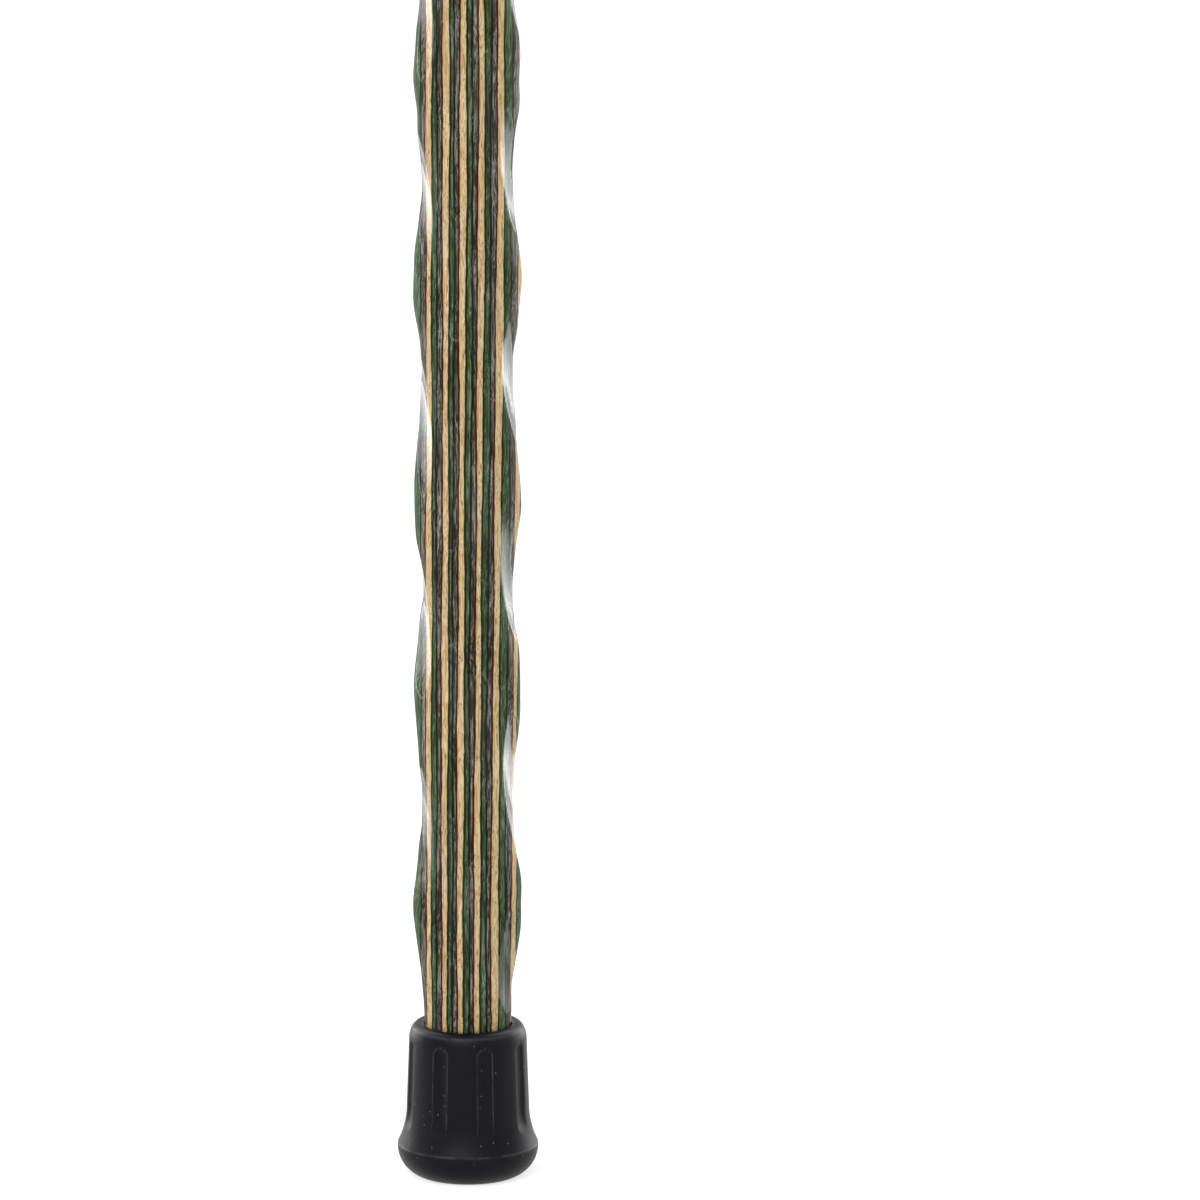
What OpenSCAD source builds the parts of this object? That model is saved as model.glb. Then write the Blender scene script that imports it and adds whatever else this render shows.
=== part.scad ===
// Hiking staff carved from laminated veneers, with a spiral ridge and a slip-on rubber ferrule.
// It stands upright on its ferrule: +Z is up, and the origin is the centre of the tread on the ground.
// The veneers are glued face to face and lie in planes square to X.

/* [Staff] */
// Height of the staff from the ground to its top
staff_length = 1219; // [900:1:1500]
// Width across the two spiral ridges
ridge_width = 31.4; // [30:0.1:32]
// Width across the two hollows between the ridges
neck_width = 25.4; // [25.3:0.1:26.4]
// Height in which the ridges make one full turn
twist_lead = 125; // [100:1:160]
// Height above the ferrule of the first place where the hollows face left and right
first_neck = 4.3; // [1:0.1:14]
// Length over which the carved section fades into the round foot
fade_length = 14; // [8:1:30]
// How far the shaft steps in, all round, to the foot that goes into the ferrule
foot_step = 0.2; // [0.1:0.05:0.3]
// Radius of the rounded top edge
top_round = 8; // [3:0.5:10]

/* [Veneers] */
// Thickness of one veneer
veneer_thickness = 1.66; // [1.62:0.01:1.68]

/* [Strap hole] */
// Diameter of the hole for a wrist strap
strap_hole_width = 6.4; // [5:0.1:8]
// Distance from the top down to the hole
strap_hole_drop = 138; // [60:1:250]
// Width of the chamfer at each mouth of the hole
strap_hole_chamfer = 0.8; // [0.4:0.1:1.5]

/* [Ferrule] */
// Height of the rubber ferrule
ferrule_height = 45.7; // [42:0.1:60]
// Thickness of rubber under the shaft
ferrule_floor = 12.7; // [8:0.1:18]
// Rubber wall at the top of the ferrule
ferrule_wall = 4.8; // [4:0.1:6]
// How much the wall widens on its way down to the flare
ferrule_taper = 0.7; // [0.2:0.1:1.2]
// Height at which the flare starts
flare_height = 21; // [18:0.5:24]
// How far the lip stands out past the wall
flare_reach = 2.7; // [1.5:0.1:4]
// Height of the lip's lower edge above the ground
lip_height = 8.6; // [7:0.1:11]
// Width of the narrow band round the lip
lip_band = 0.8; // [0.4:0.1:1.5]
// Radius of the flat tread on the ground
tread_radius = 14.6; // [12.5:0.1:16]
// Radius of the rounded outer rim
rim_round = 3; // [1:0.1:3.5]
// Radius of the rounded mouth of the socket
mouth_round = 1.2; // [0.5:0.1:1.5]
// Gap between the foot of the shaft and the socket
socket_clearance = 0.05; // [0.02:0.01:0.1]

/* [Flutes] */
// Number of flutes around the ferrule
flute_count = 8; // [6:1:10]
// Turn of the first flute from the front
flute_turn = 18.5; // [0:0.5:45]
// Width of a flute
flute_width = 4.8; // [3:0.1:6]
// Depth of a flute
flute_depth = 0.9; // [0.4:0.1:1.3]
// Distance from the rim down to the top of a flute
flute_drop = 4.2; // [3.5:0.1:8]
// Height at which a flute runs out into the flare
flute_end = 14.5; // [12:0.5:18]

/* [Tread] */
// Number of ring grooves in the tread
groove_count = 3; // [1:1:4]
// Width of a ring groove
groove_width = 1.4; // [0.8:0.1:1.8]
// Depth of a ring groove
groove_depth = 1.5; // [0.5:0.1:3]
// Distance from one ring groove to the next
groove_pitch = 3.4; // [3:0.1:3.6]
// Radius of the innermost ring groove
groove_start = 3.2; // [2:0.1:4]

/* [Washer] */
// Thickness of the steel washer in the bottom of the socket
washer_thickness = 1.6; // [1:0.1:3]
// Gap between the washer's edge and the socket
washer_clearance = 0.3; // [0.1:0.1:1]
// Diameter of the hole in the washer
washer_hole = 6.5; // [4:0.5:10]

/* [Hidden] */

$fn = 96;
natural_wood = [0.87, 0.72, 0.50];
green_wood = [0.13, 0.30, 0.15];
grey_wood = [0.31, 0.29, 0.30];
black_rubber = [0.13, 0.13, 0.14];
zinc_steel = [0.72, 0.73, 0.75];

// The veneers are counted from the middle one, 0, out to the last one on each side.
middle_veneer = 10;
last_veneer = 9;
// The outermost veneer that still runs the whole length, and the outermost that reaches into the ferrule.
last_long_veneer = 8;
last_foot_veneer = 7;

ridge_radius = ridge_width / 2;
neck_radius = neck_width / 2;
foot_radius = (last_foot_veneer + 0.5) * veneer_thickness;
shoulder_radius = foot_radius + foot_step;
foot_bottom = ferrule_floor + washer_thickness;
neck_height = ferrule_height + first_neck;
carving_start = ferrule_height + fade_length;

// The carved surface is drawn as rings, this many to one turn of the spiral.
rings_per_turn = 10;
ring_step = twist_lead / rings_per_turn;
ring_total = ceil(staff_length / ring_step);
// A ring closer than this to the end of the carving is left out.
ring_gap = ring_step / 3;
// Points closer than this are one point, so that a veneer's feathered end comes to a true tip.
point_grid = 0.000001;
// Rings closer than this are one ring.
ring_grid = 0.001;

socket_radius = foot_radius + socket_clearance;
rim_radius = socket_radius + ferrule_wall;
wall_radius = rim_radius + ferrule_taper;
lip_radius = wall_radius + flare_reach;

// How much of the carving is there at height z, from 0 in the ferrule to 1 above the fade.
function carved(z) = min(1, max(0, (z - ferrule_height) / fade_length));

// The section at height z is an ellipse with these half axes, turned to this angle.
function ridge_half(z) = shoulder_radius + (ridge_radius - shoulder_radius) * carved(z);
function neck_half(z) = shoulder_radius + (neck_radius - shoulder_radius) * carved(z);
function turn(z) = 90 - 360 * (z - neck_height) / twist_lead;

// How far the section reaches along X, and where a plane at x cuts its front and back.
function reach(z) = norm([ridge_half(z) * cos(turn(z)), neck_half(z) * sin(turn(z))]);
function cut_middle(x, z) =
    x * sin(turn(z)) * cos(turn(z)) * (pow(ridge_half(z), 2) - pow(neck_half(z), 2)) / pow(reach(z), 2);
function cut_half(x, z) =
    let (left = pow(reach(z), 2) - x * x)
    left < point_grid ? 0 : ridge_half(z) * neck_half(z) * sqrt(left) / pow(reach(z), 2);
function cut_point(x, side, z) =
    [for (v = [x, cut_middle(x, z) + side * cut_half(x, z), z]) round(v / point_grid) * point_grid];

// Heights of the rings, from the ferrule's rim to the top.
function ring_heights() = concat(
    [ferrule_height, (ferrule_height + carving_start) / 2, carving_start],
    [
        for (i = [-rings_per_turn : ring_total])
            let (z = neck_height + i * ring_step)
            if (z > carving_start + ring_gap && z < staff_length - ring_gap) z
    ],
    [staff_length]
);

// The ridges pass a plane at x at these heights: half a swing below and above each bulge.
function swing(x) =
    twist_lead / 360 * (90 - asin(sqrt((x * x - pow(neck_radius, 2)) / (pow(ridge_radius, 2) - pow(neck_radius, 2)))));
function bulge_height(i) = neck_height + (i + 0.5) * twist_lead / 2;
function bulge_total() = floor((staff_length - neck_height) / (twist_lead / 2));

// Ring heights between low and high, with both of them.
function heights_between(low, high) = concat(
    [low],
    [for (z = ring_heights()) if (z > low + ring_grid && z < high - ring_grid) z],
    [high]
);

// Ring heights with the crossings of a plane at x put in where they fall.
function heights_with_crossings(x) =
    let (
        heights = ring_heights(),
        crossings = [for (i = [0 : bulge_total()]) each [bulge_height(i) - swing(x), bulge_height(i) + swing(x)]]
    )
    concat(
        [
            for (i = [0 : len(heights) - 2])
                each concat(
                    [heights[i]],
                    [
                        for (z = crossings)
                            if (z > max(carving_start, heights[i] + ring_grid) && z < heights[i + 1] - ring_grid)
                                z
                    ]
                )
        ],
        [staff_length]
    );

// Outline of one veneer at height z: along the front from inner to outer face, and back again.
function veneer_outline(inner, outer, z) =
    let (
        end = min(outer, reach(z)),
        stations = outer > ridge_radius ? [inner, inner + 0.75 * (end - inner), end] : [inner, end]
    )
    concat(
        [for (x = stations) cut_point(x, -1, z)],
        [for (i = [len(stations) - 1 : -1 : 0]) cut_point(stations[i], 1, z)]
    );

// A solid with one outline at each height, joined by triangles. Triangles of no width are left out.
module loft(outlines) {
    points = [for (outline = outlines) each outline];
    sides = len(outlines[0]);
    last = len(points) - sides;
    walls = [
        for (ring = [0 : len(outlines) - 2], i = [0 : sides - 1])
            let (
                a = ring * sides + i,
                b = ring * sides + (i + 1) % sides,
                c = b + sides,
                d = a + sides
            )
            each [[a, c, b], [a, d, c]]
    ];
    ends = [
        for (i = [1 : sides - 2])
            each [[0, i, i + 1], [last, last + i + 1, last + i]]
    ];
    polyhedron(
        points = points,
        faces = [
            for (face = concat(walls, ends))
                let (p = [for (i = face) points[i]])
                if (p[0] != p[1] && p[1] != p[2] && p[2] != p[0]) face
        ],
        convexity = 10
    );
}

// The round foot of a veneer, inside the ferrule. It reaches a little way up into the carved part.
module veneer_foot(inner, outer) {
    length = ferrule_height - foot_bottom + fade_length / 4;
    intersection() {
        translate([0, 0, foot_bottom])
            cylinder(r = foot_radius, h = length);
        translate([inner, -ridge_radius, foot_bottom - 1])
            cube([outer - inner, ridge_width, length + 2]);
    }
}

// What is taken off all round to round over the top of the staff.
module top_edge_waste() {
    spare = 1;
    rotate_extrude()
        difference() {
            translate([0, staff_length - top_round])
                square([ridge_radius + 2 * spare, top_round + spare]);
            translate([0, staff_length - 2 * top_round])
                square([ridge_radius + spare - top_round, 2 * top_round]);
            translate([ridge_radius + spare - top_round, staff_length - top_round])
                circle(r = top_round);
        }
}

// What is drilled out for the strap, through the staff from front to back.
module strap_hole_waste() {
    z = staff_length - strap_hole_drop;
    half = cut_half(0, z);
    r = strap_hole_width / 2;
    translate([0, 0, z])
        for (side = [-1, 1])
            rotate([90 * side, 0, 0]) {
                translate([0, 0, -1])
                    cylinder(r = r, h = ridge_radius + 2);
                translate([0, 0, half - strap_hole_chamfer])
                    cylinder(r1 = r, r2 = r + 2 * strap_hole_chamfer, h = 2 * strap_hole_chamfer);
            }
}

// One veneer on the right of the middle, counted outwards. The outermost is left only on the ridges.
module right_veneer(index) {
    inner = (index - 0.5) * veneer_thickness;
    outer = index == last_veneer ? ridge_width : inner + veneer_thickness;
    difference() {
        union() {
            if (index == last_veneer)
                for (i = [0 : bulge_total()]) {
                    low = max(carving_start, bulge_height(i) - swing(inner));
                    high = min(staff_length, bulge_height(i) + swing(inner));
                    if (high > low + ring_gap)
                        loft([for (z = heights_between(low, high)) veneer_outline(inner, outer, z)]);
                }
            else if (index == last_long_veneer)
                loft([for (z = heights_with_crossings(outer)) veneer_outline(inner, outer, z)]);
            else {
                loft([for (z = ring_heights()) veneer_outline(inner, outer, z)]);
                // The outermost foot is bounded by the round alone.
                veneer_foot(inner, index == last_foot_veneer ? ridge_width : outer);
            }
        }
        top_edge_waste();
        if (abs(inner) < strap_hole_width / 2 + 2 * strap_hole_chamfer)
            strap_hole_waste();
    }
}

// The section is the same when turned half round, so a left veneer is a right one turned about Z.
module veneer(number) {
    index = number - middle_veneer;
    colours = [green_wood, grey_wood, natural_wood];
    color(colours[(number - 1) % len(colours)])
        rotate([0, 0, index < 0 ? 180 : 0])
            right_veneer(abs(index));
}

// Outline of the rubber on the right of the axis: tread, bowl, lip, hollow flare, wall and rounded rim.
module ferrule_profile() {
    bowl_rise = lip_radius - tread_radius;
    bowl_radius = (pow(bowl_rise, 2) + pow(lip_height, 2)) / (2 * bowl_rise);
    flare_drop = flare_height - lip_height - lip_band;
    flare_radius = (pow(flare_reach, 2) + pow(flare_drop, 2)) / (2 * flare_reach);
    difference() {
        union() {
            intersection() {
                square([lip_radius, lip_height]);
                translate([lip_radius - bowl_radius, lip_height])
                    circle(r = bowl_radius);
            }
            difference() {
                translate([0, lip_height])
                    square([lip_radius, lip_band + flare_drop]);
                translate([wall_radius + flare_radius, flare_height])
                    circle(r = flare_radius);
            }
            polygon([
                [0, flare_height],
                [wall_radius, flare_height],
                [rim_radius, ferrule_height - rim_round],
                [0, ferrule_height - rim_round],
            ]);
            square([rim_radius - rim_round, ferrule_height]);
            translate([rim_radius - rim_round, ferrule_height - rim_round])
                circle(r = rim_round);
        }
        translate([0, ferrule_floor])
            square([socket_radius, ferrule_height]);
        difference() {
            translate([socket_radius - 1, ferrule_height - mouth_round])
                square([mouth_round + 1, mouth_round + 1]);
            translate([socket_radius + mouth_round, ferrule_height - mouth_round])
                circle(r = mouth_round);
        }
        for (i = [0 : groove_count - 1])
            translate([groove_start + i * groove_pitch - groove_width / 2, -1])
                square([groove_width, groove_depth + 1]);
    }
}

// One flute's cutter: a round bar with ball ends that leans with the wall.
module flute_waste() {
    cutter_radius = (pow(flute_width / 2, 2) + pow(flute_depth, 2)) / (2 * flute_depth);
    top_z = ferrule_height - flute_drop - flute_width / 2;
    end_z = flute_end + flute_width / 2;
    wall_height = ferrule_height - rim_round - flare_height;
    lean = atan(ferrule_taper / wall_height);
    top_radius = rim_radius + ferrule_taper * (ferrule_height - rim_round - top_z) / wall_height;
    bar = (top_z - end_z) / cos(lean);
    translate([top_radius - flute_depth + cutter_radius, 0, top_z])
        rotate([0, -lean, 0]) {
            sphere(r = cutter_radius);
            translate([0, 0, -bar])
                cylinder(r = cutter_radius, h = bar);
            translate([0, 0, -bar])
                sphere(r = cutter_radius);
        }
}

module rubber_ferrule() {
    color(black_rubber)
        difference() {
            rotate_extrude()
                ferrule_profile();
            for (i = [0 : flute_count - 1])
                rotate([0, 0, flute_turn - 90 + i * 360 / flute_count])
                    flute_waste();
        }
}

module steel_washer() {
    color(zinc_steel)
        translate([0, 0, ferrule_floor])
            difference() {
                cylinder(r = socket_radius - washer_clearance, h = washer_thickness);
                translate([0, 0, -1])
                    cylinder(d = washer_hole, h = washer_thickness + 2);
            }
}

rubber_ferrule();
steel_washer();
veneer(1);  // veneer_01_green
veneer(2);  // veneer_02_grey
veneer(3);  // veneer_03_natural
veneer(4);  // veneer_04_green
veneer(5);  // veneer_05_grey
veneer(6);  // veneer_06_natural
veneer(7);  // veneer_07_green
veneer(8);  // veneer_08_grey
veneer(9);  // veneer_09_natural
veneer(10);  // veneer_10_green
veneer(11);  // veneer_11_grey
veneer(12);  // veneer_12_natural
veneer(13);  // veneer_13_green
veneer(14);  // veneer_14_grey
veneer(15);  // veneer_15_natural
veneer(16);  // veneer_16_green
veneer(17);  // veneer_17_grey
veneer(18);  // veneer_18_natural
veneer(19);  // veneer_19_green
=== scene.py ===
# Hiking staff: a shaft carved from 19 glued veneers, standing in a slip-on rubber ferrule.
import math
import bpy
import numpy as np
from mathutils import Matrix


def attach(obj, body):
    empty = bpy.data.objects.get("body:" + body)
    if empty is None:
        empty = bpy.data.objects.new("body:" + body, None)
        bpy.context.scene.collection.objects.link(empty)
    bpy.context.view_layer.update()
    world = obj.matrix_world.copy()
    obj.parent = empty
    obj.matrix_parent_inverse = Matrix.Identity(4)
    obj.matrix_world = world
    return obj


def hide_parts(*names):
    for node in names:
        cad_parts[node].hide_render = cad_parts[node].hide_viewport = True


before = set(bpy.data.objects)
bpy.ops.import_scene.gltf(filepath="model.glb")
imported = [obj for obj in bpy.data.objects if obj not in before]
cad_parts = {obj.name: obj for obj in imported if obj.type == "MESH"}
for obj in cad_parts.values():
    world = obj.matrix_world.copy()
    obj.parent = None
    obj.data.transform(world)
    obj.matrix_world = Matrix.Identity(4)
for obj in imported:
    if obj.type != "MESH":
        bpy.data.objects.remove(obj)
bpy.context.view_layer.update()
print("frame loaded:", len(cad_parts), "nodes")

mm = 0.001
farOff = 99.0  # mm, further out than any part of the staff

# The carved shaft, in millimetres, as in the part's source.
shaft = {
    "top": 1219.0,
    "ridgeRadius": 15.7,
    "neckRadius": 12.98,  # before the scoops, which bring it down to the source's 12.7
    "lead": 125.0,  # the ridges make one full turn in this height
    "firstNeck": 50.0,
    "rim": 45.7,  # the ferrule's rim, where the carved part begins
    "fade": 14.0,
    "shoulderRadius": 12.65,
    "footRadius": 12.45,
    "footBottom": 14.3,
    "footChamfer": 0.8,
    "topRound": 8.0,
    "holeDrop": 138.0,
    "holeRadius": 3.2,
    "holeChamfer": 0.8,
    "holeSides": 96,
    "rowStep": 0.6,  # height between two rows of the mesh
    "sweepSteps": 1440,  # samples round the section when its leftmost and rightmost points are sought
    "sideSteps": 720,  # samples between those two, on the front and on the back
}

# Each hollow is a chain of shallow scoops, as a sanding drum leaves it, a little uneven by hand.
scoops = {
    "pitch": 15.6,
    "start": 58.5,
    "depth": 0.30,
    "hollow": 0.0135,  # how fast a scoop rises across the hollow, per mm
    "slant": 0.64,  # how far the hollow leans as it climbs
    "unevenness": (0.13, 5.0, 0.17),  # of height in pitches, of angle in degrees, of depth in mm
    "most": 96,  # more than fit in one hollow
    "seed": 7,
    "halfWidth": 1.05,  # how far round a scoop may reach from its middle, in radians
    "waviness": 0.3,  # the share of the hand's slow waves that a scoop follows
    "edgeRound": 0.05,  # rounding of the crease at a scoop's edge, in mm
    "creaseWidth": 0.07,  # how deep beside a crease the pale highlight is painted, in mm
}

# The unevenness of hand carving. Each row is a wave that climbs round the staff: its height in mm,
# its spacing up the staff in mm, how many fit round it, and the phase that it starts at. A facet is
# half a wave, so twice as many facets fit round.
carving = {
    "waves": ((0.20, 38, 2, 0.7), (0.15, 23, -3, 2.1), (0.07, 13.7, 5, 4.0)),
    "facets": ((0.10, 21, 1.5, 0.4), (0.06, 15.3, -2.5, 1.9)),
    "facetMean": 0.64,  # taken off a facet's arc, so that facets leave the staff as thick as it was
    "flanks": ((0.35, 87, 1, 1.0), (0.2, 41, 0, 2.6)),  # the fuller flanks come and go, as a share
}

# The veneers are numbered 1 to 19 from left to right. The middle one is number 10.
veneers = {
    "thickness": 1.66,
    "middle": 10,
    "count": 19,
    "lastFoot": 7,  # how far from the middle a veneer may be and still reach into the ferrule
    "kinds": ("green", "grey", "natural"),
    "points": 9,  # mesh points across the front of a veneer, and as many across its back
    "sidePoints": 15,
    "sharpFace": 0.02,  # a glued face wider than this, in mm, has sharp edges
    "thinnest": 0.004,  # where less than this is left, in mm, the veneer has been carved away
    "holed": 2,  # the strap's hole meets the middle veneer and this many on each side
    # how far each glue line lies off its even place, in mm: no two veneers were pressed quite alike
    "settled": (0, 0.35, 0.31, 0.20, 0, -0.02, 0.07, -0.17, -0.30, -0.16,
                -0.09, -0.14, -0.08, 0.13, 0.10, 0.45, 1.0, 1.05, 0.80, 0),
    # how each glue line wanders: by how many mm, over how many mm of height, and how far its phase
    # moves from one line to the next
    "wander": ((0.13, 171, 2.4), (0.10, 61, 5.1), (0.05, 23, 3.7), (0.035, 9.1, 1.3), (0.02, 5.3, 4.4)),
    # How all lines lean and fan out together, in one slow swing. It comes in above the foot's end.
    "lean": {"start": 50, "spacing": 620, "middle": 0.28, "swing": 0.65, "spread": 0.016, "fan": 0.048},
    "evenBelow": 20,  # up to this height the lines are even, and in as much again the rest comes in
    "slantLeast": 0.02,  # the flattest slant that a glue line's width is kept even for
}


def smoothStep(value):
    # 0 below 0, 1 above 1, and an even S between them
    t = np.clip(value, 0, 1)
    return t * t * (3 - 2 * t)


def softMin(a, b, width):
    # the lesser of the two, with the corner between them rounded over about that width
    return 0.5 * (a + b - np.sqrt((a - b) ** 2 + width**2))


# How far the carved section stands proud of a plain ellipse, in mm, by the angle from a ridge.
# It is fuller on the side of the hollow that the blade entered from.
sectionAngles = np.array([0, 20, 42, 58, 72, 90, 105, 120, 142, 180.0])
sectionProud = np.array([0, 0.10, 0.32, 0.50, 0.52, 0.35, 0.20, 0.08, 0.0, 0])
fineStep, blur = 0.25, 3.0  # degrees
fineAngles = np.arange(0, 180, fineStep)
kernel = np.exp(-0.5 * (np.arange(-32, 33) * fineStep / blur) ** 2)
fineProud = np.convolve(
    np.tile(np.interp(fineAngles, sectionAngles, sectionProud), 3), kernel / kernel.sum(), "same"
)[len(fineAngles):2 * len(fineAngles)]


scoopDraw = np.random.default_rng(scoops["seed"]).uniform(-1, 1, (2, 3, scoops["most"]))


def scoopRadius(angle, z):
    # The deepest of the scoops near this point, and the next deepest. Each is flat across its
    # middle, so its radius grows as one over the cosine of the angle from there, and it rises as a
    # parabola across the hollow.
    deepest = np.full(np.broadcast(angle, z).shape, farOff)
    second = deepest.copy()
    nearest = np.floor((z - scoops["start"]) / scoops["pitch"]).astype(int)
    for hollow in (0, 1):
        for step in (-1, 0, 1, 2):
            which = np.clip(nearest + step, 0, scoops["most"] - 1)
            draw = [scoopDraw[hollow, i][which] * amount for i, amount in enumerate(scoops["unevenness"])]
            height = scoops["start"] + scoops["pitch"] * (which + draw[0])
            middle = (np.pi * (1 + hollow) + np.radians(draw[1])
                      - 2 * np.pi * (height - shaft["firstNeck"]) / shaft["lead"])
            off = (angle - middle + np.pi) % (2 * np.pi) - np.pi
            rise = shaft["neckRadius"] * np.sin(off) + scoops["slant"] * (z - height)
            level = shaft["neckRadius"] - scoops["depth"] + draw[2] + scoops["hollow"] * rise**2
            reached = np.abs(off) < scoops["halfWidth"]
            cut = np.where(reached, level / np.maximum(np.cos(off), 0.3), farOff)  # never over zero
            second = np.minimum(second, np.maximum(deepest, cut))
            deepest = np.minimum(deepest, cut)
    return deepest, second


def climbingWaves(rows, angle, z):
    # the sum of sine waves that climb round the staff
    return sum(height * np.sin(2 * np.pi * z / spacing + turns * angle + phase)
               for height, spacing, turns, phase in rows)


def climbingFacets(rows, angle, z):
    # Rows of shallow arcs that meet in creases: sine waves with their lower halves turned up.
    return sum(height * (np.abs(np.sin(np.pi * z / spacing + turns * angle + phase)) - carving["facetMean"])
               for height, spacing, turns, phase in rows)


def shaftRadius(angle, z):
    # An ellipse turned with height, plus a fuller side beside each hollow, plus the unevenness of
    # hand carving: slow waves that cross the spiral, and shallow facets that meet in creases. Then
    # the scoops are taken out of the hollows.
    carved = np.clip((z - shaft["rim"]) / shaft["fade"], 0, 1)
    ridge = shaft["shoulderRadius"] + (shaft["ridgeRadius"] - shaft["shoulderRadius"]) * carved
    neck = shaft["shoulderRadius"] + (shaft["neckRadius"] - shaft["shoulderRadius"]) * carved
    turned = angle - np.pi / 2 + 2 * np.pi * (z - shaft["firstNeck"]) / shaft["lead"]
    ellipse = ridge * neck / np.hypot(neck * np.cos(turned), ridge * np.sin(turned))
    fromRidge = np.degrees(turned) % 180
    flanks = 1 + climbingWaves(carving["flanks"], angle, z)
    proud = flanks * np.interp(fromRidge, fineAngles, fineProud, period=180)
    waves = climbingWaves(carving["waves"], angle, z)
    facets = climbingFacets(carving["facets"], angle, z)
    radius = ellipse + (proud + waves + facets) * carved
    scooped = softMin(radius, scoopRadius(angle, z)[0] + scoops["waviness"] * waves, scoops["edgeRound"])
    radius = radius + (scooped - radius) * smoothStep((z - shaft["rim"]) / shaft["fade"])
    # the foot inside the ferrule is turned round, and stepped in a little
    radius = np.where(z < shaft["rim"], shaft["footRadius"], radius)
    chamfered = shaft["footRadius"] - shaft["footChamfer"] + np.maximum(z - shaft["footBottom"], 0)
    radius = np.minimum(radius, np.where(z > shaft["rim"], farOff, chamfered))
    # the top edge is rounded over
    above = np.clip(z - (shaft["top"] - shaft["topRound"]), 0, shaft["topRound"])
    crown = shaft["ridgeRadius"] + 1 - shaft["topRound"] + np.sqrt(shaft["topRound"] ** 2 - above**2)
    return np.where(above > 0, softMin(radius, crown, 0.3), radius)


def gluePlane(number, z):
    # Where the glue line on the right of this veneer is, in mm from the axis. The lines lean and
    # fan out a little on their way up, and each wanders by itself. Deep in the ferrule they are even.
    lean = veneers["lean"]
    turn = np.cos(2 * np.pi * (z - lean["start"]) / lean["spacing"])
    wander = sum(amount * np.sin(2 * np.pi * z / spacing + phase * number)
                 for amount, spacing, phase in veneers["wander"]) + veneers["settled"][number]
    straight = (number - veneers["middle"] + 0.5) * veneers["thickness"]
    fanned = straight * (lean["spread"] - lean["fan"] * turn)
    above = smoothStep((z - veneers["evenBelow"]) / veneers["evenBelow"])
    return straight + above * (fanned + lean["middle"] - lean["swing"] * turn + wander)


def planeOrEnd(number, z):
    # The outermost veneers take all that is left. In the foot that holds for the outermost there.
    x = gluePlane(number, z)
    place = number - veneers["middle"] + 0.5
    if number <= 0 or number >= veneers["count"]:
        return np.full_like(x, farOff * np.sign(place))
    if abs(place) > veneers["lastFoot"]:
        return np.where(z < shaft["rim"], farOff * np.sign(place), x)
    return x


# Heights of the mesh rows: close together at the foot's chamfer, at the rim and over the top.
rowHeights = np.unique(np.round(np.concatenate([
    shaft["footBottom"] + np.array([0, 0.4, 0.8]),
    np.arange(shaft["footBottom"] + 1.6, shaft["rim"] - 1, 2.0),
    [shaft["rim"] - 0.3, shaft["rim"] - 0.02, shaft["rim"] + 0.02],
    np.arange(shaft["rim"] + 0.4, shaft["top"] - shaft["topRound"], shaft["rowStep"]),
    shaft["top"] - shaft["topRound"] * (1 - np.sin(np.linspace(0, np.pi / 2, 36))),
]), 4))
rowZ = rowHeights[:, None]

# The leftmost and rightmost point of each row, and the angles between them on the front and back.
sweep = np.linspace(-np.pi / 2, 3 * np.pi / 2, shaft["sweepSteps"] + 1)[None, :-1]
across = shaftRadius(sweep, rowZ) * np.cos(sweep)
rightAngle = sweep[0, np.argmax(across, axis=1)]
leftAngle = sweep[0, np.argmin(across, axis=1)]
share = np.linspace(0, 1, shaft["sideSteps"] + 1)[None, :]
sides = {
    "front": (leftAngle[:, None] - 2 * np.pi, rightAngle[:, None]),
    "back": (leftAngle[:, None], rightAngle[:, None]),
}
sideAngles = {name: low + (high - low) * share for name, (low, high) in sides.items()}
# Running from left to right, x never steps back, so each glue line meets each side once.
sideX = {
    name: np.maximum.accumulate(shaftRadius(angles, rowZ) * np.cos(angles), axis=1)
    for name, angles in sideAngles.items()
}
reachLeft, reachRight = sideX["front"][:, 0], sideX["front"][:, -1]


def angleAt(side, x):
    # the angle at which the side's outline passes x, found between two neighbouring samples
    table, angles = sideX[side], sideAngles[side]
    after = np.clip((table < x[:, None]).sum(axis=1), 1, table.shape[1] - 1)
    rows = np.arange(len(x))
    low, high = table[rows, after - 1], table[rows, after]
    part = np.clip((x - low) / np.maximum(high - low, 1e-9), 0, 1)
    return angles[rows, after - 1] * (1 - part) + angles[rows, after] * part


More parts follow.
